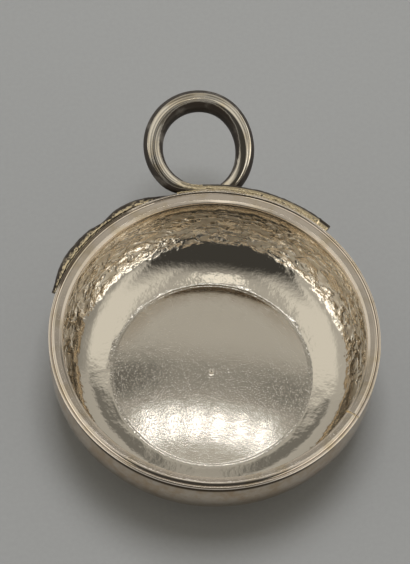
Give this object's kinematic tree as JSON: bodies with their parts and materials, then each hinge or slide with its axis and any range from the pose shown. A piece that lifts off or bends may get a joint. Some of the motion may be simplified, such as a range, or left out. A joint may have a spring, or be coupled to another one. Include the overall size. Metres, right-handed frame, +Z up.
{
  "type": "tastevin",
  "caption": "Shallow round silver tasting cup with a hammered wall, a domed floor, a moulded rim and a coiled serpent handle whose loop makes a raised finger ring.",
  "frame": {"origin": "middle of the flat underside of the bowl, on the table", "axes": "+Z up along the bowl's axis, +Y from the axis towards the finger ring"},
  "size_m": [0.0802, 0.1049, 0.0333],
  "materials": {
    "bowl_silver": "hammered silver, satin, with warm tarnish",
    "rim_silver": "satin silver",
    "handle_silver": "polished silver, worn and tarnished",
    "solder": "pitted silver solder, tarnished yellow"
  },
  "bodies": {
    "root": {"bowl": "bowl_silver", "rim_hoop": "rim_silver", "rim_solder": "solder", "hoop_joint_solder": "solder", "serpent_handle": "handle_silver", "head_solder": "solder", "tail_solder": "solder", "crossing_solder": "solder"}
  },
  "joints": []
}
